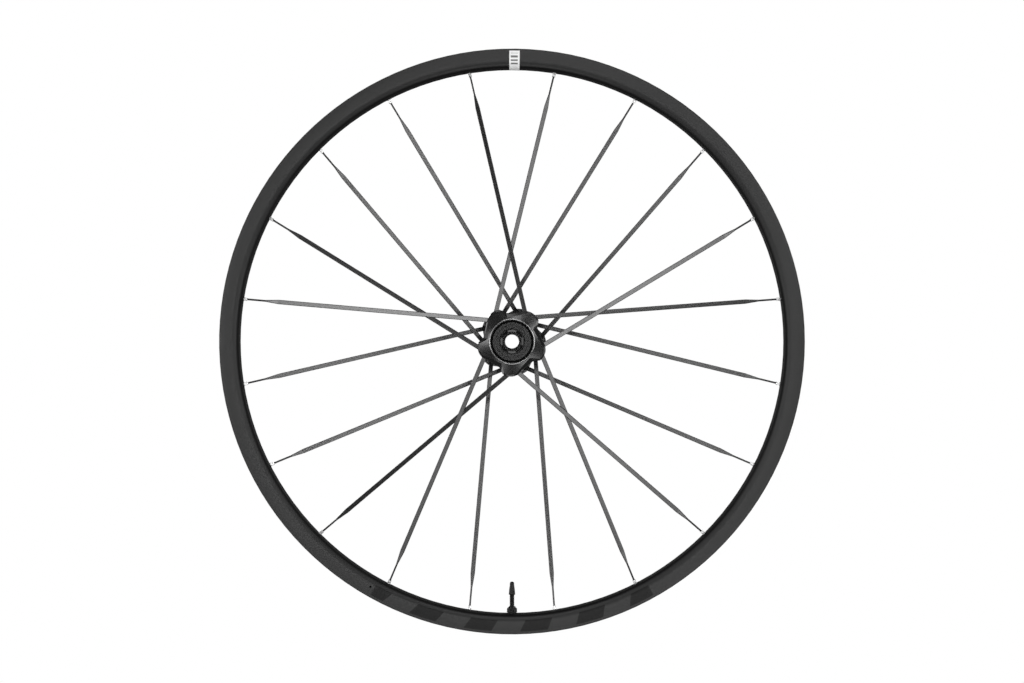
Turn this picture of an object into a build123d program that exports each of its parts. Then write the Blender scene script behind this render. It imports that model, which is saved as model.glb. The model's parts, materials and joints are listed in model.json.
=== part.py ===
from build123d import *
import os
from math import asin, cos, degrees, radians, sin

# Front bicycle wheel, in millimetres. The axle lies along Y, +Z is up and the origin is the
# wheel's centre. The right side (-Y) is the plain one, the left side (+Y) carries the disc rotor.

# Rim section
bead_seat_diameter = 622.0
flange_height = 6.0
rim_depth = 21.4
rim_width = 36.0
inner_width = 30.0
tip_chamfer = 0.9
well_depth = 4.5
well_width = 13.0
shelf_width = 5.5
side_draft = 0.7
bed_rise = 1.9
bed_corner_radius = 9.0
side_wall = 1.4
floor_wall = 1.2
bed_wall = 2.0
cavity_chamfer = 5.0
vent_angle = 240.0
vent_diameter = 2.4
vent_below_bead = 4.5

# Rim tape
tape_thickness = 0.3
tape_margin = 2.0
glue_line = 0.05

# Lacing
spoke_count = 20
first_hole_angle = 9.0
hole_offset = 2.0
access_hole_diameter = 8.0
drill_overrun = 2.0
tangent_minus = 24.3
tangent_plus = 20.7
seat_right_minus = 9.0
seat_right_plus = 12.0
seat_left_minus = 17.0
seat_left_plus = 12.0

# Spokes
blade_width = 4.8
blade_thickness = 1.5
blade_round = 0.6
rod_diameter = 2.0
rod_length = 24.8
taper_length = 14.5
taper_end = 2.1
taper_end_round = 0.9
head_width = 7.4
head_thickness = 2.6
head_length = 4.0
head_shoulder = 1.3
slot_clearance = 0.15
slot_reach = 24.0

# Nipples
nipple_reach = 4.6
nipple_square = 3.3
nipple_shank_gap = 0.5
nipple_body_diameter = 4.0
nipple_head_diameter = 5.8
nipple_head_length = 2.6
nipple_seat_depth = 1.5
nipple_clearance = 0.2
thread_clearance = 0.04
rod_grip = 4.0

# Hub, along the axle
over_locknut = 110.0
right_flange_inset = 11.0
left_flange_inset = 21.0
flange_thickness = 11.0
spoke_level_outer = 4.0
spoke_level_inner = 8.5
collar_height = 4.5
rotor_inset = 14.0
spline_length = 8.5

# Hub, across the axle
lobe_count = 5
lobe_chamfer = 0.8
flange_cone = 1.6
flange_margin = 0.5
barrel_radius = 16.0
waist_radius = 14.6
hub_bore_radius = 11.6
collar_radius = 24.8
collar_round = 1.2
shoulder_round = 1.4
recess_radius = 23.2
neck_radius = 24.0
rotor_shoulder_radius = 20.5
spline_radius = 16.7
spline_tooth_height = 0.9
spline_teeth = 52
spline_root_share = 0.3
spline_flank_share = 0.2
spline_tip_share = 0.3
lockring_bore_radius = 15.0

# Cartridge bearings
bearing_bore = 17.0
bearing_outer = 26.0
bearing_width = 5.0
race_wall = 1.5
seal_thickness = 0.6
seal_recess = 0.2
seal_gap = 0.08
seat_gap = 0.01
seat_lip = 0.5

# Axle and end caps
axle_bore_diameter = 15.1
axle_wall = 0.9
axle_grip = 7.0
axle_shoulder_radius = 9.8
cap_depth = 12.0
cap_face_radius = 10.6
cap_nose_radius = 12.4
cap_chamfer = 1.8
cap_sleeve_radius = 10.0
cap_bearing_gap = 2.0
shield_radius = 20.7
shield_thickness = 1.8
shield_step_radius = 17.2
shield_step = 0.6
shield_sink = 0.9
o_ring_section = 0.8
o_ring_width = 1.6
o_ring_from_bearing = 2.4

# Valve
valve_angle = 270.0
valve_hole_diameter = 6.2
stem_diameter = 5.4
stem_bore_diameter = 3.4
stem_length = 38.4
foot_diameter = 11.0
foot_top_diameter = 8.0
foot_height = 3.0
nut_diameter = 11.4
nut_height = 6.8
nut_cone_height = 2.4
nut_lip = 0.4
nut_clearance = 0.05
nut_ring_diameter = 9.6
nut_ring_height = 0.8
cap_length = 14.2
cap_overlap = 4.0
cap_base_diameter = 7.2
cap_base_chamfer = 0.4
cap_skirt_length = 5.0
cap_skirt_diameter = 6.4
cap_neck_diameter = 4.8
cap_neck_length = 11.0
cap_dome = 1.9
cap_wall = 0.7
cap_clearance = 0.1
core_length = 12.0
core_proud = 1.0
core_clearance = 0.05
core_pin_diameter = 1.6
core_pin_length = 5.0
core_nut_diameter = 3.2
core_nut_height = 1.6

# Places that follow from these
bead_radius = bead_seat_diameter / 2
rim_radius = bead_radius + flange_height
bed_radius = rim_radius - rim_depth
well_radius = bead_radius - well_depth
axle_radius = bearing_bore / 2
fork_face = over_locknut / 2
right_flange_face = fork_face - right_flange_inset
left_flange_face = fork_face - left_flange_inset
right_flange_back = right_flange_face - flange_thickness
left_flange_back = left_flange_face - flange_thickness
rotor_shoulder = fork_face - rotor_inset
spline_end = rotor_shoulder + spline_length
bearing_face = fork_face - cap_depth
bearing_back = bearing_face - bearing_width
axle_end = bearing_face + axle_grip
lobe_pitch = 360 / lobe_count

# One lobe of each flange, as (angle, radius) corners, front edge first and back edge second.
# The corner that stands out furthest is the middle of the lobe's rounded tip.
RIGHT_LOBE_FRONT = [(33.4, 29.2), (39.2, 35.6), (50.4, 37.0), (61.7, 35.3), (101.4, 27.0)]
RIGHT_LOBE_BACK = [(31.0, 32.0), (37.8, 36.4), (51.0, 37.8), (64.2, 36.2), (100.0, 31.0)]
LEFT_LOBE_FRONT = [(-44.0, 29.5), (-38.0, 31.0), (-22.0, 35.0), (-6.0, 36.2), (9.0, 35.2), (19.0, 31.6)]
LEFT_LOBE_BACK = [(-44.5, 31.0), (-39.0, 32.5), (-22.0, 36.2), (-6.0, 37.4), (10.0, 36.3), (20.5, 32.6)]


def polar(angle, radius):
    return radius * cos(radians(angle)), radius * sin(radians(angle))


def face_of(points):
    return make_face(Polyline(*points, close=True))


def turned(points):
    """Solid of revolution about the axle from a closed (radius, y) outline."""
    return revolve(face_of(points), Axis.Y)


def tube(inner, outer, low, high):
    return turned([(inner, low), (outer, low), (outer, high), (inner, high)])


def mirrored(half):
    """Closed outline from its +Y half, which starts and ends on the wheel's middle plane."""
    other = [(radius, -y) for radius, y in reversed(half) if y > 0]
    return half + other


def across(y):
    """Plane across the axle, drawn as seen from the right side."""
    return Plane.XZ.offset(-y)


class Lace:
    """The straight line of one spoke, from its seat in a flange to its hole in the rim."""

    def __init__(self, hole):
        pattern = [("right", -1), ("right", 1), ("left", 1), ("left", -1)]
        self.side, self.lean = pattern[hole % len(pattern)]
        self.outward = -1 if self.side == "right" else 1
        tangent = tangent_minus if self.lean < 0 else tangent_plus
        seats = {
            ("right", -1): seat_right_minus,
            ("right", 1): seat_right_plus,
            ("left", -1): seat_left_minus,
            ("left", 1): seat_left_plus,
        }
        level = spoke_level_inner if self.lean < 0 else spoke_level_outer
        faces = {"right": right_flange_face, "left": left_flange_face}
        hole_angle = first_hole_angle + hole * 360 / spoke_count
        heading = hole_angle + self.lean * degrees(asin(tangent / bed_radius))
        foot_x, foot_z = polar(heading - self.lean * 90, tangent)
        along_x, along_z = polar(heading, seats[self.side, self.lean])
        hole_x, hole_z = polar(hole_angle, bed_radius)
        self.seat = Vector(foot_x + along_x, self.outward * (faces[self.side] - level), foot_z + along_z)
        self.bed = Vector(hole_x, self.outward * hole_offset, hole_z)
        self.length = (self.bed - self.seat).length
        self.along = (self.bed - self.seat).normalized()
        self.across = self.along.cross(Vector(0, 1, 0)).normalized()

    def plane(self, distance=0.0):
        """Plane square to the spoke, with the blade's width along its X axis."""
        origin = self.seat + self.along * distance
        return Plane(origin=origin, x_dir=self.across, z_dir=self.along)

    def flat(self):
        """Plane of the blade, with the spoke's line along its Y axis."""
        return Plane(origin=self.seat, x_dir=self.across, z_dir=self.across.cross(self.along))


LACES = [Lace(hole) for hole in range(spoke_count)]


def rim_outline():
    half = rim_width / 2
    inner = inner_width / 2
    shelf_inner = inner - shelf_width
    return mirrored([
        (well_radius, 0),
        (well_radius, well_width / 2),
        (bead_radius, shelf_inner),
        (bead_radius, inner),
        (rim_radius - tip_chamfer, inner),
        (rim_radius, inner + tip_chamfer),
        (rim_radius, half - tip_chamfer),
        (rim_radius - tip_chamfer, half),
        (bed_radius + bed_rise, half - side_draft),
        (bed_radius, 0),
    ])


def rim_cavity():
    half = rim_width / 2 - side_wall
    shelf_inner = inner_width / 2 - shelf_width
    return mirrored([
        (well_radius - floor_wall, 0),
        (well_radius - floor_wall, well_width / 2 + floor_wall / 2),
        (bead_radius - floor_wall, shelf_inner + floor_wall / 2),
        (bead_radius - floor_wall, half - side_draft / 2),
        (bed_radius + bed_rise + bed_wall, half - side_draft),
        (bed_radius + bed_wall, 0),
    ])


def rim_section():
    """Outer section with the spoke bed arched between two rounded corners."""
    outline = rim_outline()
    crown = outline.index((bed_radius, 0))
    walls = outline[crown + 1:] + outline[:crown]
    bed = ThreePointArc(walls[-1], outline[crown], walls[0])
    section = make_face([*Polyline(*walls).edges(), bed])
    return fillet(section.vertices().sort_by(Axis.X)[:2], bed_corner_radius)


def cavity_section():
    section = face_of(rim_cavity())
    return chamfer(section.vertices().sort_by(Axis.X)[1:3], cavity_chamfer)


def radial_drill(angle, diameter, low, high):
    """Round cutter square to the axle, from one radius to another."""
    start_x, start_z = polar(angle, low)
    out_x, out_z = polar(angle, 1)
    where = Plane(origin=(start_x, 0, start_z), z_dir=(out_x, 0, out_z))
    return extrude(where * Circle(diameter / 2), high - low)


def vent_drill():
    """Cutter for the small hole through the right wall into the hollow."""
    vent_x, vent_z = polar(vent_angle, bead_radius - vent_below_bead)
    start = Plane(origin=(vent_x, -rim_width / 2 - drill_overrun, vent_z), z_dir=(0, 1, 0))
    return extrude(start * Circle(vent_diameter / 2), side_wall + 2 * drill_overrun)


def make_rim():
    rim = revolve(rim_section(), Axis.Y) - revolve(cavity_section(), Axis.Y)
    cutters = []
    for lace in LACES:
        bed = lace.plane(lace.length)
        hole = nipple_body_diameter / 2 + nipple_clearance
        spot = nipple_head_diameter / 2 + nipple_clearance
        floor = bed.offset(well_radius - floor_wall - bed_radius - drill_overrun)
        access = access_hole_diameter / 2
        cutters.append(extrude(bed.offset(-drill_overrun) * Circle(hole), bed_wall + 2 * drill_overrun))
        cutters.append(extrude(bed.offset(nipple_seat_depth) * Circle(spot), nipple_head_length))
        cutters.append(extrude(floor * Circle(access), floor_wall + 2 * drill_overrun))
    cutters.append(radial_drill(valve_angle, valve_hole_diameter, bed_radius - drill_overrun, bead_radius))
    cutters.append(vent_drill())
    return rim - cutters


def make_rim_tape():
    inner = inner_width / 2
    shelf_inner = inner - shelf_width
    edge = inner - tape_margin
    under = [
        (well_radius, 0),
        (well_radius, well_width / 2),
        (bead_radius, shelf_inner),
        (bead_radius, edge),
    ]
    low = [(radius + glue_line, y) for radius, y in under]
    high = [(radius + glue_line + tape_thickness, y) for radius, y in under]
    tape = turned(mirrored(low + high[::-1]))
    return tape - radial_drill(valve_angle, valve_hole_diameter, bed_radius, rim_radius)


def head_outline(margin):
    wide = head_width / 2 + margin
    narrow = blade_width / 2 + margin
    return [
        (-wide, -head_length - margin),
        (wide, -head_length - margin),
        (wide, -head_shoulder),
        (narrow, 0),
        (-narrow, 0),
        (-wide, -head_shoulder),
    ]


def make_spoke(lace):
    """Flat blade with a wedge head at the hub and a round rod at the rim."""
    blade_end = lace.length - rod_length - taper_length
    rod_start = lace.length - rod_length
    blade = RectangleRounded(blade_width, blade_thickness, blade_round)
    neck = RectangleRounded(taper_end, taper_end, taper_end_round)
    rod = Circle(rod_diameter / 2)
    head = extrude(lace.flat() * face_of(head_outline(0)), head_thickness / 2, both=True)
    shank = extrude(lace.plane(-head_shoulder) * blade, blade_end + head_shoulder)
    taper = loft([lace.plane(blade_end) * blade, lace.plane(rod_start) * neck], ruled=True)
    tail = extrude(lace.plane(rod_start) * rod, rod_length + rod_grip)
    return head + shank + taper + tail


def spoke_slot(lace):
    """Cutter for the blade's channel and the head's pocket, open towards the wheel's middle."""
    opening = flange_thickness + head_length
    inboard = 1 if lace.flat().z_dir.Y * lace.outward < 0 else -1
    channel_width = blade_width / 2 + slot_clearance
    channel = [
        (-channel_width, -head_shoulder),
        (channel_width, -head_shoulder),
        (channel_width, slot_reach),
        (-channel_width, slot_reach),
    ]
    cuts = []
    outlines = [(channel, blade_thickness), (head_outline(slot_clearance), head_thickness)]
    for outline, thickness in outlines:
        floor = thickness / 2 + slot_clearance
        start = lace.flat().offset(-inboard * floor)
        cuts.append(extrude(start * face_of(outline), inboard * (floor + opening)))
    return cuts


def make_nipple(lace):
    """Square shank outside the spoke bed, round through it, seated by its head inside."""
    bed = lace.plane(lace.length)
    square = bed.offset(-nipple_reach) * Rectangle(nipple_square, nipple_square)
    body_start = bed.offset(-nipple_shank_gap)
    body = extrude(body_start * Circle(nipple_body_diameter / 2), nipple_seat_depth + nipple_shank_gap)
    head = bed.offset(nipple_seat_depth) * Circle(nipple_head_diameter / 2)
    nipple = extrude(square, nipple_reach - nipple_shank_gap) + body + extrude(head, nipple_head_length)
    bore = bed.offset(-nipple_reach) * Circle(rod_diameter / 2 + thread_clearance)
    return nipple - extrude(bore, nipple_reach + rod_grip + thread_clearance)


def lobed(corners, y):
    """Flange outline across the axle at y, from the corners of one lobe."""
    tip = max(range(len(corners)), key=lambda corner: corners[corner][1])
    points = []
    for lobe in range(lobe_count):
        points += [polar(angle + lobe * lobe_pitch, radius) for angle, radius in corners]
    edges = []
    for start in range(len(points)):
        corner = start % len(corners)
        following = points[(start + 1) % len(points)]
        if corner == tip - 1:
            edges.append(ThreePointArc(points[start], following, points[start + 2]))
        elif corner != tip:
            edges.append(Line(points[start], following))
    return across(y) * make_face(edges)


def chamfer_corners(corners, reach, depth):
    """Lobe corners on the chamfer of the conical face, at a depth below the flange's face."""
    slope = flange_cone / (reach - collar_radius)
    moved = []
    for angle, radius in corners:
        face_drop = slope * (radius - collar_radius)
        moved.append((angle, radius - lobe_chamfer - face_drop + depth))
    return moved


def make_flange(outward, face, back, front_corners, back_corners):
    """Five lobes with sloped flanks, a slightly conical outer face and a chamfer round it."""
    middle = (face + back) / 2
    flanks = loft([lobed(front_corners, outward * face), lobed(back_corners, outward * middle)], ruled=True)
    slab = extrude(lobed(back_corners, outward * middle), outward * (middle - back))
    reach = max(radius for _, radius in back_corners) + flange_margin
    cone = turned([
        (barrel_radius, outward * face),
        (collar_radius, outward * face),
        (reach, outward * (face - flange_cone)),
        (reach, outward * back),
        (barrel_radius, outward * back),
    ])
    high = lobed(chamfer_corners(front_corners, reach, 0), outward * face)
    low = lobed(chamfer_corners(front_corners, reach, face - back), outward * back)
    return (flanks + slab) & cone & loft([high, low], ruled=True)


def spline_outline():
    root = spline_radius - spline_tooth_height
    pitch = 360 / spline_teeth
    points = []
    for tooth in range(spline_teeth):
        start = tooth * pitch
        flank = start + pitch * spline_root_share
        tip = flank + pitch * spline_flank_share
        points.append(polar(start, root))
        points.append(polar(flank, root))
        points.append(polar(tip, spline_radius))
        points.append(polar(tip + pitch * spline_tip_share, spline_radius))
    return points


def make_hub_shell():
    seat = bearing_outer / 2
    seat_end = bearing_back
    mouth = bearing_face + seat_lip
    collar_top = -right_flange_face - collar_height
    section = face_of([
        (hub_bore_radius, -seat_end),
        (hub_bore_radius, seat_end),
        (seat, seat_end),
        (seat, mouth),
        (lockring_bore_radius, mouth),
        (lockring_bore_radius, rotor_shoulder),
        (rotor_shoulder_radius, rotor_shoulder),
        (rotor_shoulder_radius, rotor_shoulder - shoulder_round),
        (neck_radius, left_flange_face),
        (neck_radius, left_flange_back + flange_cone),
        (barrel_radius, left_flange_back),
        (waist_radius, 0),
        (barrel_radius, -right_flange_back),
        (neck_radius, -right_flange_back - flange_cone),
        (collar_radius, -right_flange_face),
        (collar_radius, collar_top),
        (recess_radius, collar_top),
        (recess_radius, -mouth),
        (seat, -mouth),
        (seat, -seat_end),
    ])
    brim = section.vertices().sort_by(Axis.Y)[:2].sort_by(Axis.X)[-1]
    core = revolve(fillet(brim, collar_round), Axis.Y)
    right = make_flange(-1, right_flange_face, right_flange_back, RIGHT_LOBE_FRONT, RIGHT_LOBE_BACK)
    left = make_flange(1, left_flange_face, left_flange_back, LEFT_LOBE_FRONT, LEFT_LOBE_BACK)
    spline = extrude(across(rotor_shoulder) * face_of(spline_outline()), rotor_shoulder - spline_end)
    boss = spline - tube(0, lockring_bore_radius, rotor_shoulder, spline_end)
    shell = core + right + left + boss
    slots = [cut for lace in LACES for cut in spoke_slot(lace)]
    return shell - slots


def make_axle_tube():
    inner = axle_radius - axle_wall
    outer = axle_radius - seat_gap
    shoulder = bearing_back
    return turned([
        (inner, -axle_end),
        (outer, -axle_end),
        (outer, -shoulder),
        (axle_shoulder_radius, -shoulder),
        (axle_shoulder_radius, shoulder),
        (outer, shoulder),
        (outer, axle_end),
        (inner, axle_end),
    ])


def end_cap(outward, brim, brim_inner):
    """Push-on cap: nose against the fork, sleeve against the inner race, O-ring groove inside."""
    bore = axle_bore_diameter / 2
    stop = axle_end + seat_gap
    grip = axle_radius + seat_gap
    groove_low = bearing_face + o_ring_from_bearing
    groove_high = groove_low + o_ring_width
    outline = [
        (bore, fork_face),
        (cap_face_radius, fork_face),
        (cap_nose_radius, fork_face - cap_chamfer),
        *brim,
        (cap_sleeve_radius, brim_inner),
        (cap_sleeve_radius, bearing_face),
        (grip, bearing_face),
        (grip, groove_low),
        (grip + o_ring_section, groove_low),
        (grip + o_ring_section, groove_high),
        (grip, groove_high),
        (grip, stop),
        (bore, stop),
    ]
    return turned([(radius, outward * y) for radius, y in outline])


def make_end_cap_right():
    """Cap with the wide dust shield that sits in the hub collar."""
    top = right_flange_face + collar_height - shield_sink
    brim = [
        (cap_nose_radius, top),
        (shield_step_radius, top),
        (shield_step_radius, top - shield_step),
        (shield_radius, top - shield_step),
        (shield_radius, top - shield_thickness),
    ]
    return end_cap(-1, brim, top - shield_thickness)


def make_end_cap_left():
    low = bearing_face + cap_bearing_gap
    return end_cap(1, [(cap_nose_radius, low)], low)


def make_end_cap_rings():
    rings = []
    for outward in (-1, 1):
        low = bearing_face + o_ring_from_bearing + seat_gap
        high = low + o_ring_width - 2 * seat_gap
        rings.append(tube(axle_radius, axle_radius + o_ring_section, outward * low, outward * high))
    return rings


def bearing_span(outward):
    return outward * bearing_back, outward * bearing_face


def make_inner_race(outward):
    return tube(axle_radius, axle_radius + race_wall, *bearing_span(outward))


def make_outer_race(outward):
    outer = bearing_outer / 2 - seat_gap
    return tube(bearing_outer / 2 - race_wall, outer, *bearing_span(outward))


def make_bearing_seals(outward):
    inner = axle_radius + race_wall + seal_gap
    outer = bearing_outer / 2 - race_wall - seat_gap
    seals = []
    for low in (bearing_back + seal_recess, bearing_face - seal_recess - seal_thickness):
        seals.append(tube(inner, outer, outward * low, outward * (low + seal_thickness)))
    return seals


# Distances from the axle along the valve's line
tape_top = well_radius + glue_line + tape_thickness
foot_low = tape_top + glue_line
stem_root = foot_low + foot_height
stem_tip = stem_root - stem_length
nut_ring_seat = bed_radius - glue_line * 2
nut_seat = nut_ring_seat - nut_ring_height
cap_base = stem_tip + cap_overlap
cap_tip = cap_base - cap_length


def about_valve(section):
    """Solid of revolution about the valve's line from a (radius, distance from the axle) face."""
    out_x, out_z = polar(valve_angle, 1)
    line = Plane(origin=(0, 0, 0), z_dir=(out_x, 0, out_z))
    return line * revolve(Plane.XZ * section, Axis.Z)


def on_valve(points):
    return about_valve(face_of(points))


def make_valve_stem():
    bore = stem_bore_diameter / 2
    outer = stem_diameter / 2
    return on_valve([(bore, stem_tip), (outer, stem_tip), (outer, stem_root), (bore, stem_root)])


def make_valve_foot():
    bore = stem_diameter / 2 + seat_gap
    return on_valve([
        (bore, foot_low),
        (foot_diameter / 2, foot_low),
        (foot_top_diameter / 2, stem_root),
        (bore, stem_root),
    ])


def make_valve_nut_ring():
    bore = stem_diameter / 2 + nut_clearance
    outer = nut_ring_diameter / 2
    return on_valve([(bore, nut_seat), (outer, nut_seat), (outer, nut_ring_seat), (bore, nut_ring_seat)])


def make_valve_nut():
    bore = stem_diameter / 2 + nut_clearance
    outer = nut_diameter / 2
    top = nut_seat - nut_height
    return on_valve([
        (bore, nut_seat),
        (outer, nut_seat),
        (outer, top + nut_cone_height),
        (bore + nut_lip, top),
        (bore, top),
    ])


def make_valve_core():
    """Core screwed into the stem, with its pin and the small nut that locks it."""
    outer = stem_bore_diameter / 2 - core_clearance
    pin = core_pin_diameter / 2
    nut = core_nut_diameter / 2
    top = stem_tip - core_proud
    pin_end = top - core_pin_length
    return on_valve([
        (0, stem_tip + core_length),
        (outer, stem_tip + core_length),
        (outer, top),
        (pin, top),
        (pin, pin_end + core_nut_height),
        (nut, pin_end + core_nut_height),
        (nut, pin_end),
        (0, pin_end),
    ])


def make_valve_cap():
    base = cap_base_diameter / 2
    neck = cap_neck_diameter / 2
    grip = stem_diameter / 2 + cap_clearance
    inside = neck - cap_wall
    ceiling = stem_tip - cap_clearance
    section = face_of([
        (grip, cap_base),
        (base - cap_base_chamfer, cap_base),
        (base, cap_base - cap_base_chamfer),
        (cap_skirt_diameter / 2, cap_base - cap_skirt_length),
        (neck, cap_base - cap_neck_length),
        (neck, cap_tip),
        (0, cap_tip),
        (0, cap_tip + cap_dome),
        (inside, cap_tip + cap_dome + inside),
        (inside, ceiling - (grip - inside)),
        (grip, ceiling),
    ])
    brow = section.vertices().sort_by(Axis.Y)[:2].sort_by(Axis.X)[-1]
    return about_valve(fillet(brow, cap_dome))


PARTS = {
    "rim": make_rim(),
    "rim_tape": make_rim_tape(),
    "spoke_nipples": [make_nipple(lace) for lace in LACES],
    "hub_shell": make_hub_shell(),
    "axle_tube": make_axle_tube(),
    "end_cap_right": make_end_cap_right(),
    "end_cap_left": make_end_cap_left(),
    "end_cap_o_rings": make_end_cap_rings(),
    "bearing_right_inner_race": make_inner_race(-1),
    "bearing_right_outer_race": make_outer_race(-1),
    "bearing_right_seals": make_bearing_seals(-1),
    "bearing_left_inner_race": make_inner_race(1),
    "bearing_left_outer_race": make_outer_race(1),
    "bearing_left_seals": make_bearing_seals(1),
    "valve_stem": make_valve_stem(),
    "valve_foot": make_valve_foot(),
    "valve_nut": make_valve_nut(),
    "valve_nut_ring": make_valve_nut_ring(),
    "valve_core": make_valve_core(),
    "valve_cap": make_valve_cap(),
}
for number, lace in enumerate(LACES, 1):
    PARTS[f"spoke_{number:02d}"] = make_spoke(lace)

os.makedirs("parts", exist_ok=True)
for name, made in PARTS.items():
    shape = Compound(children=made) if isinstance(made, list) else made
    export_step(shape, f"parts/{name}.step")
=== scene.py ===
"""Looks of a front bicycle wheel: finishes, printed marks, threads, flutes and a plain studio."""
import json
from collections import namedtuple
from contextlib import contextmanager
from math import cos, hypot, pi, radians, sin

import bmesh
import bpy
from mathutils import Matrix, Vector
from mathutils.bvhtree import BVHTree


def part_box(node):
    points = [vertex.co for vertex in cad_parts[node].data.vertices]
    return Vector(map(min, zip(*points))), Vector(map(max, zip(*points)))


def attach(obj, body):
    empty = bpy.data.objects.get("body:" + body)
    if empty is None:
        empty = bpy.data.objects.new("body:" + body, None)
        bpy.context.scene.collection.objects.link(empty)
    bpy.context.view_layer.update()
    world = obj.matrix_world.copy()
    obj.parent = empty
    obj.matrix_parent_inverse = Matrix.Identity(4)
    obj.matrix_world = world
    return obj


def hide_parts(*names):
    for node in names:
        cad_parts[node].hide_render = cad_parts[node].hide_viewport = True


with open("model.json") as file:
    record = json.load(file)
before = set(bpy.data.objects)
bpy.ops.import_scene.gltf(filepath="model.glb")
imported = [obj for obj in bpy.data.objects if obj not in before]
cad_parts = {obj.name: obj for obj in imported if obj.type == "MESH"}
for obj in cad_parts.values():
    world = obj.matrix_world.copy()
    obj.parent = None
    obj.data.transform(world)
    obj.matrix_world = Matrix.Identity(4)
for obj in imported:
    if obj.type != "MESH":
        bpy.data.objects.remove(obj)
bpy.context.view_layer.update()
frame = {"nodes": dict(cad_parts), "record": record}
NODES = frame["nodes"]
SLOT_OF = {part["node"]: part["material_slot"] for part in frame["record"]["subparts"]}
MM = 0.001
MICRON = 0.000001

# Sizes read from the frame, in metres
RIM_LOW, RIM_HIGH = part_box("rim")
RIM_RADIUS = RIM_HIGH.x
RIM_HALF = RIM_HIGH.y
NUT_LOW, NUT_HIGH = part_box("valve_nut")
CAP_LOW, CAP_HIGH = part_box("valve_cap")
STEM_LOW, STEM_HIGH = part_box("valve_stem")
SPOKES = sorted(name for name in NODES if name.startswith("spoke_") and name[-1].isdigit())

# Meshes: points that lie closer than the gap are one point, and angles are in degrees
WELD_GAP = 0.001 * MM
FLAT_ANGLE = 0.5
SHARP_ANGLE = 35.0
FLUTE_SHARP_ANGLE = 50.0

# Edges that a machinist breaks, where two faces meet at more than an angle in degrees
NIPPLE_EDGE = 0.30 * MM
END_CAP_EDGE = 0.22 * MM
EDGE_STEPS = 2
EDGE_ANGLE = 40.0

# Valve stem and its thread
STEM_BORE = 1.7 * MM
STEM_SIDES = 40
THREAD_PITCH = 0.8 * MM
THREAD_CORE = 0.15 * MM
RIDGE_STEPS = 28
RIDGE_CORNERS = 4

# Valve nut. Its shoulder's points lie this far in and up from the corner of side and cone.
# Only what lies beyond the inner share of its radius is fluted
NUT_BORE = 2.75 * MM
NUT_LIP = 0.4 * MM
NUT_CONE = 2.4 * MM
NUT_EDGE = 0.3 * MM
NUT_SHOULDER = [(0.12 * MM, 0.0), (0.42 * MM, 0.18 * MM)]
NUT_ROWS = 12
NUT_FLUTES = 10
NUT_FLUTE_DEPTH = 0.75 * MM
NUT_FLUTE_FOOT = 1.8 * MM
NUT_FLUTE_FADE = 0.9 * MM
NUT_FLUTE_INNER = 0.8
FLUTE_STEPS = 16

# Valve cap. Skirt and neck are a radius and a height above the cap's foot
CAP_GRIP = 2.8 * MM
CAP_FOOT_EDGE = 0.4 * MM
CAP_SKIRT = (3.2 * MM, 5.0 * MM)
CAP_NECK = (2.4 * MM, 11.0 * MM)
CAP_DOME = 1.9 * MM
CAP_DOME_ROWS = 8
CAP_INSIDE = 1.7 * MM
CAP_RIBS = 12
CAP_RIB_DEPTH = 0.30 * MM
CAP_RIB_FOOT = 1.2 * MM
CAP_RIB_TOP = 6.9 * MM
CAP_RIB_FADE = 0.8 * MM
RIB_STEPS = 12

# Ring thread in the rotor side's bore
RING_BORE = 15.0 * MM
RING_PITCH = 1.0 * MM

# Printed strip across the rim, opposite the valve. Its angle is in degrees
LABEL_ANGLE = 89.5
LABEL_WIDTH = 12.1 * MM
LABEL_LIFT = 0.07 * MM
LABEL_TOP = 1.9 * MM
LABEL_END = 1.5 * MM
LABEL_COLUMNS = 9
LABEL_SIDE_ROWS = 8
LABEL_CORNER_ROWS = 16
LABEL_BED_ROWS = 5
BED_CORNER = 9.0 * MM
BED_CORNER_BELOW_EDGE = 10.6 * MM

# Print on the strip: low edge, high edge and softness, as shares of the strip or of one row
FACE_ACROSS = (0.05, 0.95, 0.03)
FACE_ALONG = (0.015, 0.985, 0.01)
PRINT_ACROSS = (0.18, 0.78, 0.03)
PRINT_ALONG = (0.10, 0.56, 0.02)
PRINT_ROWS = 7.0
PRINT_ROW = (0.25, 0.70, 0.04)

# Tonal bars on the rim's sides, so many degrees either side of the valve. A bar is a share of its pitch
BAR_SPREAD = 29.0
BAR_SPREAD_FADE = 0.4
BAR_PITCH = 62.0 * MM
BAR_SLANT = 0.55
BAR_SHARE = (0.12, 0.60, 0.012)
BAR_INNER = RIM_RADIUS - 15.0 * MM
BAR_OUTER = RIM_RADIUS - 3.2 * MM
BAR_FADE = 0.3 * MM
BAR_SIDE = (RIM_HALF - 3.0 * MM, RIM_HALF - 2.6 * MM)

# Half width of the rim over which its lacquered finish and lighter colour fade in, from the spoke bed to
# the sides; the bed's darker colour is painted shade
LACQUER_AND_BED_SHADE_EDGE = (RIM_HALF - 4.8 * MM, RIM_HALF - 1.6 * MM)

# Fineness of the finishes' textures, to a metre or, round the wheel, to a radian
RIM_STREAKS_ROUND = 14.0
RIM_STREAKS_ACROSS = 900.0
RIM_GRAIN = 900.0
SPOKE_FIBRES_ALONG = 18.0
SPOKE_FIBRES_ACROSS = 2600.0
NIPPLE_GRAIN = 2200.0
BLASTED_GRAIN = 2600.0
DYE_CLOUDS = 60.0
BARE_TURNING = 6000.0
BARE_STAINS = 120.0
MOULD_CLOUD_SHARE = 1 / 20
TAPE_WEAVE_ROUND = 2400.0
TAPE_WEAVE_ACROSS = 9000.0
LABEL_FLECKS = 1500.0
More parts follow.
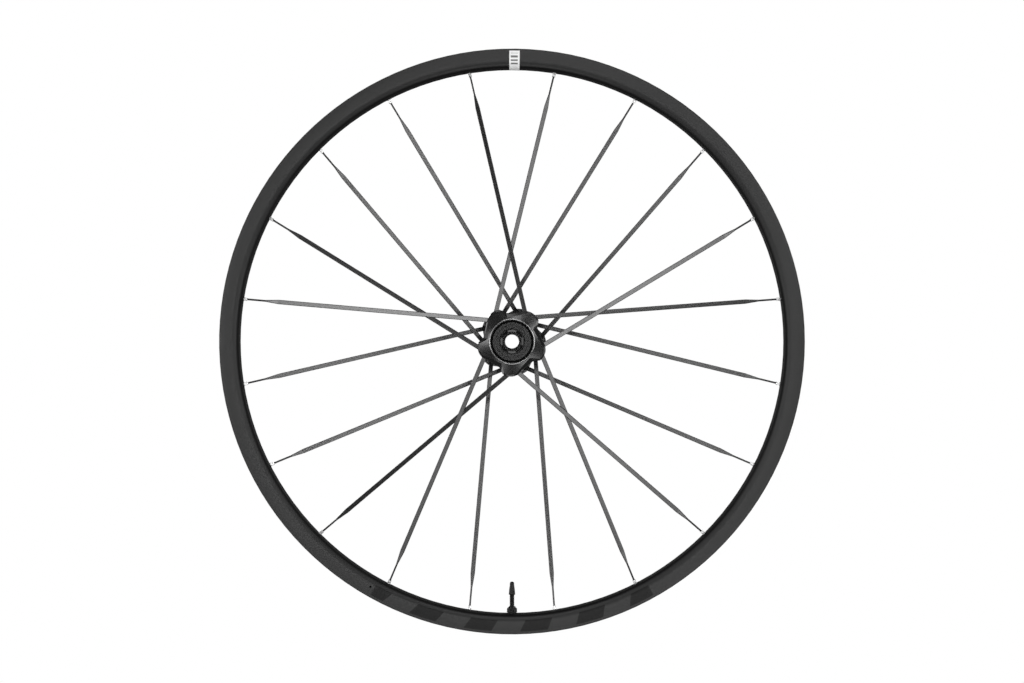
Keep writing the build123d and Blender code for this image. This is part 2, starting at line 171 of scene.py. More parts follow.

# Rings round the axle, further than a height from its middle, with a finish of their own; some of them are
# painted shade
Ring = namedtuple("Ring", "inner outer height level metal roughness")
COLLAR_LIP = Ring(23.7 * MM, 24.4 * MM, 46.8 * MM, level=0.38, metal=0.8, roughness=0.22)
# Painted shade: a dark, dull ring on the floor of the gap between collar and shield, where shadow falls
SHIELD_GAP_SHADE = Ring(17.8 * MM, 22.9 * MM, 43.0 * MM, level=0.006, metal=1.0, roughness=0.6)
# Dark, smooth nose of the end cap; past the nose's edge, out to its outer radius, the dark ring is painted
# shade of the step round the nose
END_CAP_NOSE_AND_STEP_SHADE = Ring(0.0, 14.0 * MM, 0.0, level=0.002, metal=0.0, roughness=0.10)
RING_FADE = 0.1 * MM

# Camera, straight at the plain side
CAMERA_DISTANCE = 3.0
CAMERA_LENS = 96.9
CAMERA_SENSOR = 36.0

# Studio. The two edges are directions: -1 is towards the camera, 1 is straight behind the wheel
FLOOR_DROP = 0.15
FLOOR_RADIUS = 0.70
FLOOR_FADE = 0.30
FLOOR_SIDES = 96
FLOOR_WHITE = 0.85
ROOM_LEVEL = 0.10
DARK_LEVEL = 0.02
DARK_EDGE = (-0.98, -0.80)
BACKDROP_EDGE = (0.97, 0.995)

# Lamps: degrees round the camera's line and away from it, distance, size out from it and across, level
Lamp = namedtuple("Lamp", "name turn spread distance size level")
LAMPS = [
    Lamp("strip_right", 25, 17.6, 5.0, (1.05, 0.50), 10.0),
    Lamp("strip_top", 80, 17.6, 5.0, (1.05, 0.40), 7.6),
    Lamp("strip_left", 174, 17.6, 5.0, (1.05, 0.42), 12.5),
    Lamp("strip_low_left", 245, 17.6, 5.0, (1.05, 0.42), 4.4),
    Lamp("strip_low_right", 308, 17.6, 5.0, (1.05, 0.80), 6.2),
    Lamp("spot_right", 11, 4.9, 5.0, (0.30, 0.26), 15.0),
    Lamp("spot_top", 88, 8.6, 5.0, (0.56, 0.30), 6.5),
    Lamp("spot_left", 155, 4.9, 5.0, (0.30, 0.26), 11.0),
    Lamp("spot_low_left", 228, 5.0, 5.0, (0.34, 0.26), 8.5),
    Lamp("spot_low_right", 300, 5.0, 5.0, (0.34, 0.26), 13.5),
    Lamp("side_top", 90, 78, 2.6, (1.9, 2.2), 2.4),
    Lamp("side_right", 0, 78, 2.6, (1.9, 1.9), 1.8),
    Lamp("side_left", 180, 78, 2.6, (1.9, 1.9), 1.8),
    Lamp("side_bottom", 270, 78, 2.6, (1.9, 1.9), 2.2),
    Lamp("fill_left", 170, 48, 4.5, (3.6, 3.6), 1.2),
    Lamp("fill_right", 10, 48, 4.5, (3.6, 3.6), 1.2),
    Lamp("back_right", 45, 150, 4.6, (1.2, 1.6), 6.0),
    Lamp("back_left", 160, 157, 4.4, (1.2, 1.2), 6.0),
    Lamp("back_fill_left", 190, 132, 4.5, (3.6, 3.6), 1.8),
    Lamp("back_fill_right", 350, 132, 4.5, (3.6, 3.6), 1.8),
]


class Flow:
    """A socket of a node tree. Arithmetic on it adds Math nodes to that tree."""

    def __init__(self, graph, socket):
        self.graph = graph
        self.socket = socket

    def math(self, operation, *terms):
        sockets = dict(enumerate([self, *terms]))
        return self.graph.add("ShaderNodeMath", {"operation": operation}, sockets)

    def reflected(self, operation, first):
        return self.graph.add("ShaderNodeMath", {"operation": operation}, {0: first, 1: self})

    def __add__(self, other):
        return self.math("ADD", other)

    def __radd__(self, other):
        return self.reflected("ADD", other)

    def __sub__(self, other):
        return self.math("SUBTRACT", other)

    def __rsub__(self, other):
        return self.reflected("SUBTRACT", other)

    def __mul__(self, other):
        return self.math("MULTIPLY", other)

    def __rmul__(self, other):
        return self.reflected("MULTIPLY", other)

    def __truediv__(self, other):
        return self.math("DIVIDE", other)

    def __rtruediv__(self, other):
        return self.reflected("DIVIDE", other)

    def __pow__(self, other):
        return self.math("POWER", other)

    def __rpow__(self, other):
        return self.reflected("POWER", other)

    def __neg__(self):
        return self.math("MULTIPLY", -1.0)

    def __gt__(self, other):
        return self.math("GREATER_THAN", other)

    def __abs__(self):
        return self.math("ABSOLUTE")

    def step(self, low, high, start=0.0, end=1.0):
        """Smooth rise from start to end as the value goes from low to high."""
        settings = {"interpolation_type": "SMOOTHSTEP"}
        sockets = {"Value": self, "From Min": low, "From Max": high, "To Min": start, "To Max": end}
        return self.graph.add("ShaderNodeMapRange", settings, sockets)

    def within(self, low, high, soft):
        """One between low and high, falling to zero over a soft edge outside them."""
        return self.step(low - soft, low) * self.step(high, high + soft, 1.0, 0.0)


class Graph:
    """A node tree that is written as expressions."""

    def __init__(self, tree):
        self.tree = tree

    def add(self, kind, settings=None, sockets=None, out=0):
        node = self.tree.nodes.new(kind)
        for key, value in (settings or {}).items():
            setattr(node, key, value)
        for key, value in (sockets or {}).items():
            self.feed(node.inputs[key], value)
        return Flow(self, node.outputs[out])

    def feed(self, socket, value):
        if isinstance(value, Flow):
            self.tree.links.new(value.socket, socket)
        else:
            socket.default_value = value

    def split(self, vector):
        node = self.add("ShaderNodeSeparateXYZ", sockets={"Vector": vector}).socket.node
        return [Flow(self, socket) for socket in node.outputs]

    def join(self, x, y, z):
        return self.add("ShaderNodeCombineXYZ", sockets={"X": x, "Y": y, "Z": z})

    def scaled(self, vector, factor):
        return self.add("ShaderNodeVectorMath", {"operation": "SCALE"}, {0: vector, "Scale": factor})

    def light_path(self, *kinds):
        outputs = self.add("ShaderNodeLightPath").socket.node.outputs
        return [Flow(self, outputs[kind]) for kind in kinds]


class Finish(Graph):
    """One procedural material around a Principled shader."""

    def __init__(self, name, **constants):
        self.material = bpy.data.materials.new(name)
        self.material.use_nodes = True
        super().__init__(self.material.node_tree)
        self.shader = self.tree.nodes["Principled BSDF"]
        self.surface(**constants)

    def place(self):
        return self.add("ShaderNodeTexCoord", out="Object")

    def attribute(self, name):
        return self.add("ShaderNodeAttribute", {"attribute_name": name}, out="Fac")

    def noise(self, vector, scale=1.0, detail=2.0):
        sockets = {"Vector": vector, "Scale": scale, "Detail": detail}
        return self.add("ShaderNodeTexNoise", sockets=sockets)

    def turning_marks(self, radius, height, fineness):
        """Fine rings that a lathe leaves round the axle."""
        return self.noise(self.join(radius * fineness, height * fineness, 0.0))

    def grey(self, level):
        return self.join(level, level, level)

    def mix(self, factor, first, second):
        sockets = {0: factor, 6: first, 7: second}
        return self.add("ShaderNodeMix", {"data_type": "RGBA"}, sockets, out=2)

    def surface(self, **inputs):
        """Feeds the shader's sockets, whose names are written with underscores."""
        for key, value in inputs.items():
            self.feed(self.shader.inputs[key.replace("_", " ")], value)

    def bump(self, height, distance, strength):
        sockets = {"Height": height, "Distance": distance, "Strength": strength}
        self.surface(Normal=self.add("ShaderNodeBump", sockets=sockets))


class Shaper(Graph):
    """A geometry tree with named inputs. It is run on a piece once and leaves a plain mesh."""

    def __init__(self, name, *sizes):
        super().__init__(bpy.data.node_groups.new(name, "GeometryNodeTree"))
        ends = self.tree.interface
        ends.new_socket("Geometry", in_out="INPUT", socket_type="NodeSocketGeometry")
        ends.new_socket("Geometry", in_out="OUTPUT", socket_type="NodeSocketGeometry")
        self.keys = {}
        for size in sizes:
            socket = ends.new_socket(size, in_out="INPUT", socket_type="NodeSocketFloat")
            self.keys[size] = socket.identifier
        self.entry = self.tree.nodes.new("NodeGroupInput")
        self.exit = self.tree.nodes.new("NodeGroupOutput")

    def size(self, name):
        return Flow(self, self.entry.outputs[name])

    def close(self, geometry, material):
        """Last nodes of the tree: instances made real and dressed in a material."""
        real = self.add("GeometryNodeRealizeInstances", sockets={"Geometry": geometry})
        dressed = self.add("GeometryNodeSetMaterial", sockets={"Geometry": real, "Material": material})
        self.feed(self.exit.inputs["Geometry"], dressed)

    def run(self, piece, **values):
        modifier = piece.modifiers.new(self.tree.name, "NODES")
        modifier.node_group = self.tree
        for size, value in values.items():
            modifier[self.keys[size]] = value
        return bake_modifiers(piece)


def colour(level, warmth=0.0):
    """Neutral linear colour with a slight shift to red or blue."""
    return (level * (1 + warmth), level, level * (1 - warmth), 1.0)


def from_axis(first, second):
    """Distance from an axis, out of the two coordinates across it."""
    return (first * first + second * second) ** 0.5


def from_valve(x, z):
    """Angle round the wheel, zero at the valve."""
    return x.math("ARCTAN2", -z)


def slanted_bars(angle, radius, y):
    """Mask of the tonal bars on the rim's two sides."""
    slant = angle * RIM_RADIUS + (radius - RIM_RADIUS) * BAR_SLANT
    bars = (slant / BAR_PITCH).math("FRACT").within(*BAR_SHARE)
    band = radius.within(BAR_INNER, BAR_OUTER, BAR_FADE)
    spread = abs(angle).step(radians(BAR_SPREAD), radians(BAR_SPREAD + BAR_SPREAD_FADE), 1.0, 0.0)
    return bars * band * spread * abs(y).step(*BAR_SIDE)


def carbon_rim():
    """Laminate with faint fibre streaks, satin-lacquered sides, a spoke bed darkened with painted shade,
    tonal bars near the valve.
    """
    finish = Finish("rim_carbon", Specular_IOR_Level=0.08, Coat_Roughness=0.27)
    place = finish.place()
    x, y, z = finish.split(place)
    radius = from_axis(x, z)
    angle = from_valve(x, z)
    hoop = finish.join(angle * RIM_STREAKS_ROUND, radius * RIM_STREAKS_ACROSS, y * RIM_STREAKS_ACROSS)
    streaks = finish.noise(hoop, detail=3.0)
    grain = finish.noise(place, RIM_GRAIN)
    marks = slanted_bars(angle, radius, y)
    # Painted shade: the spoke bed's colour is kept darker than the sides', standing in for the shade that
    # falls on the rim's inner band
    lacquer_and_bed_shade = abs(y).step(*LACQUER_AND_BED_SHADE_EDGE)
    level = (0.003 + 0.004 * streaks + 0.024 * lacquer_and_bed_shade) * (1.0 - 0.5 * marks)
    finish.surface(
        Base_Color=finish.grey(level),
        Roughness=0.80 + 0.15 * streaks,
        Coat_Weight=lacquer_and_bed_shade * (0.27 - 0.15 * marks),
    )
    finish.bump(streaks * 0.6 + grain * 0.4, distance=30 * MICRON, strength=0.35)
    return finish.material


def carbon_spoke():
    """Satin blade with fibres that run along it."""
    finish = Finish("spoke_carbon", Specular_IOR_Level=0.6)
    along = finish.attribute("along") * SPOKE_FIBRES_ALONG
    across = finish.attribute("across") * SPOKE_FIBRES_ACROSS
    fibres = finish.noise(finish.join(along, across, 0.0), detail=3.0)
    finish.surface(Base_Color=finish.grey(0.006 + 0.006 * fibres), Roughness=0.17 + 0.03 * fibres)
    finish.bump(fibres, distance=5 * MICRON, strength=0.2)
    return finish.material


def bright_nipple():
    """Silver aluminium with a fine grain."""
    finish = Finish("nipple_alloy", Metallic=1.0)
    grain = finish.noise(finish.place(), NIPPLE_GRAIN)
    finish.surface(Base_Color=finish.grey(0.42 + 0.12 * grain), Roughness=0.26 + 0.10 * grain)
    return finish.material


def black_anodised(name, level, roughness, turning, rings=(), relief=3 * MICRON, metal=0.25):
    """Dyed aluminium, fine blasted, with turning marks round the axle and rings of other finishes, some of
    them painted shade.
    """
    finish = Finish(name, Specular_IOR_Level=0.5)
    place = finish.place()
    x, y, z = finish.split(place)
    radius = from_axis(x, z)
    marks = finish.turning_marks(radius, y, turning)
    blast = finish.noise(place, BLASTED_GRAIN)
    cloud = finish.noise(place, DYE_CLOUDS)
    for ring in rings:
        # A ring's own level replaces the colour there: the collar's bare-metal lip, and painted shade in
        # the shield's gap and round the end cap's nose
        on_ring_finish_and_shade = radius.within(ring.inner, ring.outer, RING_FADE) * (abs(y) > ring.height)
        level = level + on_ring_finish_and_shade * (ring.level - level)
        metal = metal + on_ring_finish_and_shade * (ring.metal - metal)
        roughness = roughness + on_ring_finish_and_shade * (ring.roughness - roughness)
    finish.surface(
        Base_Color=finish.grey(level * (0.82 + 0.26 * cloud + 0.1 * blast)),
        Roughness=roughness * (0.8 + 0.15 * blast + 0.25 * marks),
        Metallic=metal,
    )
    finish.bump(marks * 0.6 + blast * 0.4, distance=relief, strength=0.5)
    return finish.material


def bare_metal(name, level, roughness, warmth=0.0):
    """Turned bare metal with rings round the axle and faint stains."""
    finish = Finish(name, Metallic=1.0)
    place = finish.place()
    x, y, z = finish.split(place)
    marks = finish.turning_marks(from_axis(x, z), y, BARE_TURNING)
    stain = finish.noise(place, BARE_STAINS, detail=3.0)
    tint = finish.mix(stain, colour(level, warmth), colour(level * 0.8, warmth))
    finish.surface(Base_Color=tint, Roughness=roughness + 0.12 * marks)
    finish.bump(marks, distance=20 * MICRON, strength=0.4)
    return finish.material


def soft_black(name, level, roughness, fineness, gloss=0.4):
    """Moulded rubber or plastic with a fine grain."""
    finish = Finish(name, Specular_IOR_Level=gloss)
    place = finish.place()
    grain = finish.noise(place, fineness, detail=3.0)
    cloud = finish.noise(place, fineness * MOULD_CLOUD_SHARE)
    finish.surface(
        Base_Color=finish.grey(level * (0.8 + 0.4 * cloud)),
        Roughness=roughness + 0.12 * (grain - 0.5),
    )
    finish.bump(grain, distance=30 * MICRON, strength=0.4)
    return finish.material


def rim_tape_film():
    """Thin woven film with a faint weave."""
    finish = Finish("tape", Specular_IOR_Level=0.4)
    x, y, z = finish.split(finish.place())
    weave = (from_valve(x, z) * TAPE_WEAVE_ROUND).math("SINE") * (y * TAPE_WEAVE_ACROSS).math("SINE")
    finish.surface(Base_Color=finish.grey(0.055 + 0.012 * weave), Roughness=0.46 + 0.06 * weave)
    finish.bump(weave, distance=20 * MICRON, strength=0.5)
    return finish.material


def label_film():
    """White vinyl with a thin dark border and a few plain bars of print."""
    border = 0.05
    finish = Finish("label_film", Specular_IOR_Level=0.4)
    across = finish.attribute("across")
    along = finish.attribute("along")
    face = across.within(*FACE_ACROSS) * along.within(*FACE_ALONG)
    rows = (along * PRINT_ROWS).math("FRACT").within(*PRINT_ROW)
    ink = rows * across.within(*PRINT_ACROSS) * along.within(*PRINT_ALONG)
    fleck = finish.noise(finish.place(), LABEL_FLECKS)
    level = (0.84 + 0.06 * fleck) * (1.0 - 0.80 * ink)
    finish.surface(
        Base_Color=finish.grey(border + face * (level - border)),
        Roughness=0.42 + 0.08 * fleck,
    )
    return finish.material


MATERIALS = {
    "rim_carbon": carbon_rim(),
    "spoke_carbon": carbon_spoke(),
    "hub_black": black_anodised(
        "hub_black",
        level=0.014,
        roughness=0.16,
        turning=3000.0,
        rings=[COLLAR_LIP, SHIELD_GAP_SHADE],
    ),
    "cap_black": black_anodised(
        "cap_black",
        level=0.009,
        roughness=0.18,
        turning=800.0,
        rings=[END_CAP_NOSE_AND_STEP_SHADE],
        relief=0.3 * MICRON,
        metal=0.60,
    ),
    "axle_alloy": bare_metal("axle_alloy", level=0.55, roughness=0.30),
    "nipple_alloy": bright_nipple(),
    "bearing_steel": bare_metal("bearing_steel", level=0.60, roughness=0.22),
    "seal_rubber": soft_black("seal_rubber", level=0.018, roughness=0.55, fineness=1800.0),
    "tape": rim_tape_film(),
    "valve_metal": black_anodised("valve_metal", level=0.008, roughness=0.16, turning=5000.0, metal=0.65),
    "core_brass": bare_metal("core_brass", level=0.50, roughness=0.28, warmth=0.35),
    "cap_plastic": soft_black("cap_plastic", level=0.004, roughness=0.24, fineness=2400.0, gloss=0.22),
}
LABEL_FILM = label_film()


def dress(obj, material):
    obj.data.materials.clear()
    obj.data.materials.append(material)


def keep(piece, body, replaced=()):
    """Attaches a finished piece to the body that it moves with, and hides the nodes that it stands for."""
    if replaced:
        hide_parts(*replaced)
    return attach(piece, body)


def stand_in(piece, node_name, body):
    """Dresses a piece as the node that it stands for."""
    slot = SLOT_OF[node_name]
    dress(piece, MATERIALS[slot])
    return keep(piece, body, [node_name])


def new_piece(name, mesh):
    piece = bpy.data.objects.new(name, mesh)
    bpy.context.scene.collection.objects.link(piece)
    return piece


@contextmanager
def rework(mesh):
    """Opens a mesh for work on its points and faces, and writes it back afterwards."""
    work = bmesh.new()
    work.from_mesh(mesh)
    yield work
    work.to_mesh(mesh)
    work.free()


def point_values(mesh, name, values):
    """Writes a number to each point of a mesh, under a name that a finish reads."""
    layer = mesh.attributes.new(name, "FLOAT", "POINT")
    layer.data.foreach_set("value", values)


def bake_modifiers(piece):
    """Turns the piece's modifiers into its plain mesh."""
    bpy.context.view_layer.update()
    shaped = piece.evaluated_get(bpy.context.evaluated_depsgraph_get())
    mesh = bpy.data.meshes.new_from_object(shaped)
    piece.modifiers.clear()
    piece.data = mesh
    return piece


def shade_flats(piece, sharp=SHARP_ANGLE):
    """Smooth shading that leaves large flat faces flat."""
    piece.data.shade_smooth()
    piece.data.set_sharp_from_angle(angle=radians(sharp))
    weighted = piece.modifiers.new("weighted", "WEIGHTED_NORMAL")
    weighted.keep_sharp = True
    return bake_modifiers(piece)


def welded_copy(node_name, flatten=False):
    """Mesh of a node with its loose triangles joined, so that it can be shaded and bevelled."""
    mesh = NODES[node_name].data.copy()
    flat = radians(FLAT_ANGLE)
    with rework(mesh) as work:
        bmesh.ops.remove_doubles(work, verts=work.verts, dist=WELD_GAP)
        if flatten:
            bmesh.ops.dissolve_limit(work, angle_limit=flat, verts=work.verts, edges=work.edges)
    return mesh


def spoke_blade(node_name):
    """Copy of a spoke that knows how far along and across the blade each point lies."""
    mesh = welded_copy(node_name)
    points = [vertex.co.copy() for vertex in mesh.vertices]
    rim_end = max(points, key=lambda point: hypot(point.x, point.z))
    hub_end = max(points, key=lambda point: (point - rim_end).length)
    line = (hub_end - rim_end).normalized()
    flat = line.cross(Vector((0, 1, 0))).normalized()
    point_values(mesh, "along", [(point - rim_end).dot(line) for point in points])
    point_values(mesh, "across", [(point - rim_end).dot(flat) for point in points])
    return stand_in(shade_flats(new_piece(f"{node_name}_blade", mesh)), node_name, "wheel")


def smooth_moulding(node_name, body):
    """Copy of a moulded node whose curved walls are shaded smooth."""
    piece = shade_flats(new_piece(f"{node_name}_moulded", welded_copy(node_name)))
    return stand_in(piece, node_name, body)


def broken_edges(node_name, width, body):
    """Copy of a machined node with its sharp edges broken."""
    piece = new_piece(f"{node_name}_machined", welded_copy(node_name, flatten=True))
    bevel = piece.modifiers.new("edge", "BEVEL")
    bevel.width = width
    bevel.segments = EDGE_STEPS
    bevel.limit_method = "ANGLE"
    bevel.angle_limit = radians(EDGE_ANGLE)
    bevel.use_clamp_overlap = False
    return stand_in(shade_flats(bake_modifiers(piece)), node_name, body)


def lathe(name, profile, segments):
    """Closed mesh turned about the valve's line, from (radius, height) corners."""
    mesh = bpy.data.meshes.new(name)
    spin = [2 * pi * step / segments for step in range(segments)]
    rings = []
    with rework(mesh) as work:
        for radius, height in profile:
            circle = [(radius * cos(turn), radius * sin(turn), height) for turn in spin]
            rings.append([work.verts.new(point) for point in circle])
        for ring, following in zip(rings, rings[1:] + rings[:1]):
            for step in range(segments):
                ahead = (step + 1) % segments
                work.faces.new((ring[step], ring[ahead], following[ahead], following[step]))
        bmesh.ops.remove_doubles(work, verts=work.verts, dist=WELD_GAP)
        bmesh.ops.recalc_face_normals(work, faces=work.faces)
    return new_piece(name, mesh)


def rows_between(low, high, count):
    return [low + (high - low) * row / count for row in range(count + 1)]


def fluting(material):
    """Grooves along the valve's line, evenly round a turned piece, between two heights."""
    shaper = Shaper("fluting", "Count", "Depth", "Low", "High", "Fade", "Inner")
    x, y, z = shaper.split(shaper.add("GeometryNodeInputPosition"))
    radius = from_axis(x, y)
    wave = ((y.math("ARCTAN2", x) * shaper.size("Count")).math("COSINE") * 0.5 + 0.5) ** 2.0
    reach = z.within(shaper.size("Low"), shaper.size("High"), shaper.size("Fade"))
    outside = radius > shaper.size("Inner")
    cut = shaper.size("Depth") * wave * reach * outside / radius
    sockets = {
        "Geometry": shaper.size("Geometry"),
        "Offset": shaper.scaled(shaper.join(x, y, 0.0), -cut),
    }
    shaper.close(shaper.add("GeometryNodeSetPosition", sockets=sockets), material)
    return shaper


def screw_ridge(material):
    """Ridge that winds round the Z axis, added to a plain core. Its section is a square on its corner."""
    shaper = Shaper("screw_ridge", "Radius", "Pitch", "Length", "Start")
    pitch = shaper.size("Pitch")
    spiral = shaper.add("GeometryNodeCurveSpiral", sockets={
        "Resolution": RIDGE_STEPS,
        "Rotations": shaper.size("Length") / pitch,
        "Start Radius": shaper.size("Radius"),
        "End Radius": shaper.size("Radius"),
        "Height": shaper.size("Length"),
    })
    upright = shaper.add("GeometryNodeSetCurveNormal", {"mode": "Z_UP"}, {"Curve": spiral})
    section = shaper.add("GeometryNodeCurvePrimitiveCircle", sockets={
        "Resolution": RIDGE_CORNERS,
        "Radius": pitch * 0.5,
    })
    ridge = shaper.add("GeometryNodeCurveToMesh", sockets={
        "Curve": upright,
        "Profile Curve": section,
        "Fill Caps": True,
    })
    place = shaper.join(0.0, 0.0, shaper.size("Start"))
    moved = shaper.add("GeometryNodeTransform", sockets={"Geometry": ridge, "Translation": place})
    joined = shaper.add("GeometryNodeJoinGeometry", sockets={"Geometry": shaper.size("Geometry")})
    shaper.feed(joined.socket.node.inputs["Geometry"], moved)
    shaper.close(joined, material)
    return shaper


def outward_faces(piece):
    with rework(piece.data) as work:
        bmesh.ops.recalc_face_normals(work, faces=work.faces)
    return piece


def threaded_stem(shaper):
    """Valve stem with its fine thread cut into the plain rod's size."""
    ridge = STEM_HIGH.x - THREAD_PITCH / 2
    core = ridge + THREAD_CORE
    bottom, top = STEM_LOW.z, STEM_HIGH.z
    outline = [(STEM_BORE, bottom), (core, bottom), (core, top), (STEM_BORE, top)]
    stem = lathe("valve_stem_threaded", outline, STEM_SIDES)
    shaper.run(
        stem,
        Radius=ridge,
        Pitch=THREAD_PITCH,
        Length=top - bottom - THREAD_PITCH,
        Start=bottom + THREAD_PITCH / 2,
    )
    return keep(shade_flats(outward_faces(stem)), "wheel", ["valve_stem"])


def ring_thread(shaper):
    """Thread for the rotor's ring: from a pitch inside the bore's mouth to two short of the bearing."""
    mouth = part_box("hub_shell")[1].y
    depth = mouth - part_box("bearing_left_outer_race")[1].y
    thread = new_piece("rotor_ring_thread", bpy.data.meshes.new("rotor_ring_thread"))
    shaper.run(thread, Radius=RING_BORE, Pitch=RING_PITCH, Length=depth - 3 * RING_PITCH, Start=RING_PITCH)
    for vertex in thread.data.vertices:
        vertex.co = Vector((vertex.co.x, mouth - vertex.co.z, vertex.co.y))
    return keep(shade_flats(outward_faces(thread)), "wheel")


def fluted_nut():
    """Round valve nut with finger flutes and a conical top."""
    bottom, top = NUT_LOW.z, NUT_HIGH.z
    outer = NUT_HIGH.x
    shoulder = top - NUT_CONE
    outline = [(NUT_BORE, bottom), (outer - NUT_EDGE, bottom)]
    for height in rows_between(bottom + NUT_EDGE, shoulder - NUT_EDGE, NUT_ROWS):
        outline.append((outer, height))
    for inward, upward in NUT_SHOULDER:
        outline.append((outer - inward, shoulder + upward))
    outline += [(NUT_BORE + NUT_LIP, top), (NUT_BORE, top)]
    nut = lathe("valve_nut_fluted", outline, NUT_FLUTES * FLUTE_STEPS)
    fluting(MATERIALS["valve_metal"]).run(
        nut,
        Count=float(NUT_FLUTES),
        Depth=NUT_FLUTE_DEPTH,
        Low=bottom + NUT_FLUTE_FOOT,
        High=top,
        Fade=NUT_FLUTE_FADE,
        Inner=outer * NUT_FLUTE_INNER,
    )
    return keep(shade_flats(nut, FLUTE_SHARP_ANGLE), "wheel", ["valve_nut"])


def cap_outline():
    """Half section of the valve cap, from its foot up over the tip and back down inside."""
    bottom, top = CAP_LOW.z, CAP_HIGH.z
    foot = CAP_HIGH.x
    skirt_radius, skirt_height = CAP_SKIRT
    neck_radius, neck_height = CAP_NECK
    tenths = rows_between(0.1, 1.0, 9)
    outline = [(CAP_GRIP, bottom), (foot - CAP_FOOT_EDGE, bottom), (foot, bottom + CAP_FOOT_EDGE)]
    for share in tenths:
        outline.append((foot + (skirt_radius - foot) * share, bottom + skirt_height * share))
    for share in tenths:
        ease = share * share * (3 - 2 * share)
        blend = (ease + share) / 2
        height = skirt_height + (neck_height - skirt_height) * share
        outline.append((skirt_radius + (neck_radius - skirt_radius) * blend, bottom + height))
    flat = neck_radius - CAP_DOME
    spring = top - CAP_DOME
    for turn in rows_between(0.0, pi / 2, CAP_DOME_ROWS):
        outline.append((flat + CAP_DOME * cos(turn), spring + CAP_DOME * sin(turn)))
    stem_top = STEM_HIGH.z
    outline += [(0.0, top), (0.0, spring), (CAP_INSIDE, spring - CAP_INSIDE)]
    outline += [(CAP_INSIDE, stem_top + CAP_GRIP - CAP_INSIDE), (CAP_GRIP, stem_top)]
    return outline


def ribbed_cap():
    """Moulded valve cap: ribbed skirt, slim neck and a round tip."""
    cap = lathe("valve_cap_ribbed", cap_outline(), CAP_RIBS * RIB_STEPS)
    fluting(MATERIALS["cap_plastic"]).run(
        cap,
        Count=float(CAP_RIBS),
        Depth=CAP_RIB_DEPTH,
        Low=CAP_LOW.z + CAP_RIB_FOOT,
        High=CAP_LOW.z + CAP_RIB_TOP,
        Fade=CAP_RIB_FADE,
        Inner=CAP_GRIP,
    )
    return keep(shade_flats(cap, FLUTE_SHARP_ANGLE), "valve_cap", ["valve_cap"])


def on_hoop(angle, radius, y):
    return Vector((radius * cos(angle), y, radius * sin(angle)))


def label_rays():
    """Rays that find the rim under the label, row by row: where each starts and where it heads.

    The rows run down the rim's right side, round the corner of the spoke bed and onto the bed.
    """
    corner_radius = RIM_RADIUS - BED_CORNER_BELOW_EDGE
    corner_y = RIM_LOW.y + BED_CORNER
    reach = 2 * BED_CORNER
    rays = []
    for radius in rows_between(RIM_RADIUS - LABEL_TOP, corner_radius, LABEL_SIDE_ROWS)[:-1]:
        rays.append((radius, RIM_LOW.y - BED_CORNER, 0.0, 1.0))
    for turn in rows_between(0.0, pi / 2, LABEL_CORNER_ROWS):
        outward, sideways = sin(turn), cos(turn)
        rays.append((corner_radius - reach * outward, corner_y - reach * sideways, outward, sideways))
    for y in rows_between(corner_y, -LABEL_END, LABEL_BED_ROWS)[1:]:
        rays.append((corner_radius - reach, y, 1.0, 0.0))
    return rays


def label_strip():
    """Printed strip that lies on the rim's right side and turns over onto the spoke bed."""
    rim = NODES["rim"].data
    corners = [vertex.co for vertex in rim.vertices]
    walls = BVHTree.FromPolygons(corners, [face.vertices for face in rim.polygons])
    rays = label_rays()
    middle = radians(LABEL_ANGLE)
    mesh = bpy.data.meshes.new("rim_label")
    rows = []
    across = []
    along = []
    with rework(mesh) as work:
        for row, (radius, y, outward, sideways) in enumerate(rays):
            half = LABEL_WIDTH / 2 / max(radius, RIM_RADIUS - BED_CORNER_BELOW_EDGE)
            points = []
            for column, angle in enumerate(rows_between(middle + half, middle - half, LABEL_COLUMNS)):
                start = on_hoop(angle, radius, y)
                heading = on_hoop(angle, outward, sideways)
                hit, normal, _, _ = walls.ray_cast(start, heading)
                points.append(work.verts.new(hit + normal * LABEL_LIFT))
                across.append(column / LABEL_COLUMNS)
                along.append(row / (len(rays) - 1))
            rows.append(points)
        for upper, lower in zip(rows, rows[1:]):
            for column in range(LABEL_COLUMNS):
                work.faces.new((upper[column], lower[column], lower[column + 1], upper[column + 1]))
    point_values(mesh, "across", across)
    point_values(mesh, "along", along)
    mesh.shade_smooth()
    label = new_piece("rim_label", mesh)
    dress(label, LABEL_FILM)
    return keep(label, "wheel")


def studio_floor():
    """Pale round floor that fades out at its edge and catches the wheel's shadow."""
    mesh = bpy.data.meshes.new("studio_floor")
    with rework(mesh) as work:
        bmesh.ops.create_circle(work, cap_ends=True, segments=FLOOR_SIDES, radius=FLOOR_RADIUS)
        bmesh.ops.translate(work, verts=work.verts, vec=(0, 0, RIM_LOW.z - FLOOR_DROP))
    floor = new_piece("studio_floor", mesh)
    finish = Finish("studio_floor", Roughness=0.9, Base_Color=colour(FLOOR_WHITE))
    x, y, _ = finish.split(finish.place())
    mirrored, shadow = finish.light_path("Is Glossy Ray", "Is Shadow Ray")
    passing = mirrored.math("MAXIMUM", shadow)
    solid = from_axis(x, y).step(FLOOR_RADIUS - FLOOR_FADE, FLOOR_RADIUS, 1.0, 0.0)
    finish.surface(Alpha=solid * (1.0 - passing))
    mesh.materials.append(finish.material)


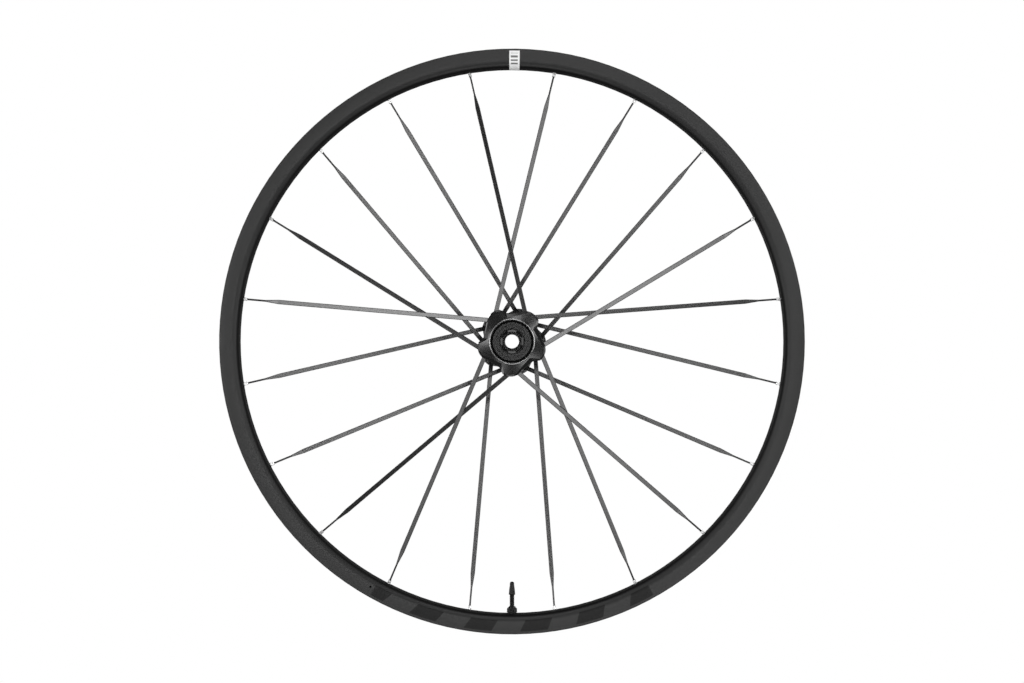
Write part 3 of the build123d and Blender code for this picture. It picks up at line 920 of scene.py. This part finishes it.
def studio_world():
    """White behind the wheel for the eye and for reflections, a dim room, darker round the camera."""
    world = bpy.data.worlds.new("studio")
    bpy.context.scene.world = world
    world.use_nodes = True
    graph = Graph(world.node_tree)
    seen, through, mirrored = graph.light_path("Is Camera Ray", "Is Transmission Ray", "Is Glossy Ray")
    _, y, _ = graph.split(graph.add("ShaderNodeTexCoord", out="Generated"))
    white = seen.math("MAXIMUM", through).math("MAXIMUM", mirrored * y.step(*BACKDROP_EDGE))
    room = y.step(*DARK_EDGE, DARK_LEVEL, ROOM_LEVEL)
    background = world.node_tree.nodes["Background"]
    graph.feed(background.inputs["Strength"], white + (1.0 - white) * room)
    background.inputs["Color"].default_value = colour(1.0)


def softbox(plan):
    """Area lamp aimed at the wheel's centre, as bright as the level on its whole face."""
    lamp = bpy.data.lights.new(plan.name, "AREA")
    lamp.shape = "RECTANGLE"
    lamp.size, lamp.size_y = plan.size
    lamp.energy = plan.level * pi * lamp.size * lamp.size_y
    turn = radians(plan.turn)
    spread = radians(plan.spread)
    place = on_hoop(turn, sin(spread) * plan.distance, -cos(spread) * plan.distance)
    aim = (-place).to_track_quat("-Z", "Y").to_matrix().to_4x4()
    obj = bpy.data.objects.new(plan.name, lamp)
    obj.location = place
    obj.rotation_euler = (aim @ Matrix.Rotation(turn, 4, "Z")).to_euler()
    bpy.context.scene.collection.objects.link(obj)


def studio_camera():
    camera = bpy.data.cameras.new("camera")
    camera.lens = CAMERA_LENS
    camera.sensor_width = CAMERA_SENSOR
    obj = bpy.data.objects.new("camera", camera)
    obj.location = (0.0, -CAMERA_DISTANCE, 0.0)
    obj.rotation_euler = (pi / 2, 0.0, 0.0)
    bpy.context.scene.collection.objects.link(obj)
    bpy.context.scene.camera = obj


for node_name, node in NODES.items():
    dress(node, MATERIALS[SLOT_OF[node_name]])
for spoke in SPOKES:
    spoke_blade(spoke)
smooth_moulding("rim", "wheel")
broken_edges("spoke_nipples", NIPPLE_EDGE, "wheel")
broken_edges("end_cap_right", END_CAP_EDGE, "axle")
broken_edges("end_cap_left", END_CAP_EDGE, "axle")
threaded_stem(screw_ridge(MATERIALS["valve_metal"]))
ring_thread(screw_ridge(MATERIALS["hub_black"]))
fluted_nut()
ribbed_cap()
label_strip()

bpy.context.scene.view_settings.view_transform = "Standard"
studio_floor()
studio_world()
for lamp_plan in LAMPS:
    softbox(lamp_plan)
studio_camera()
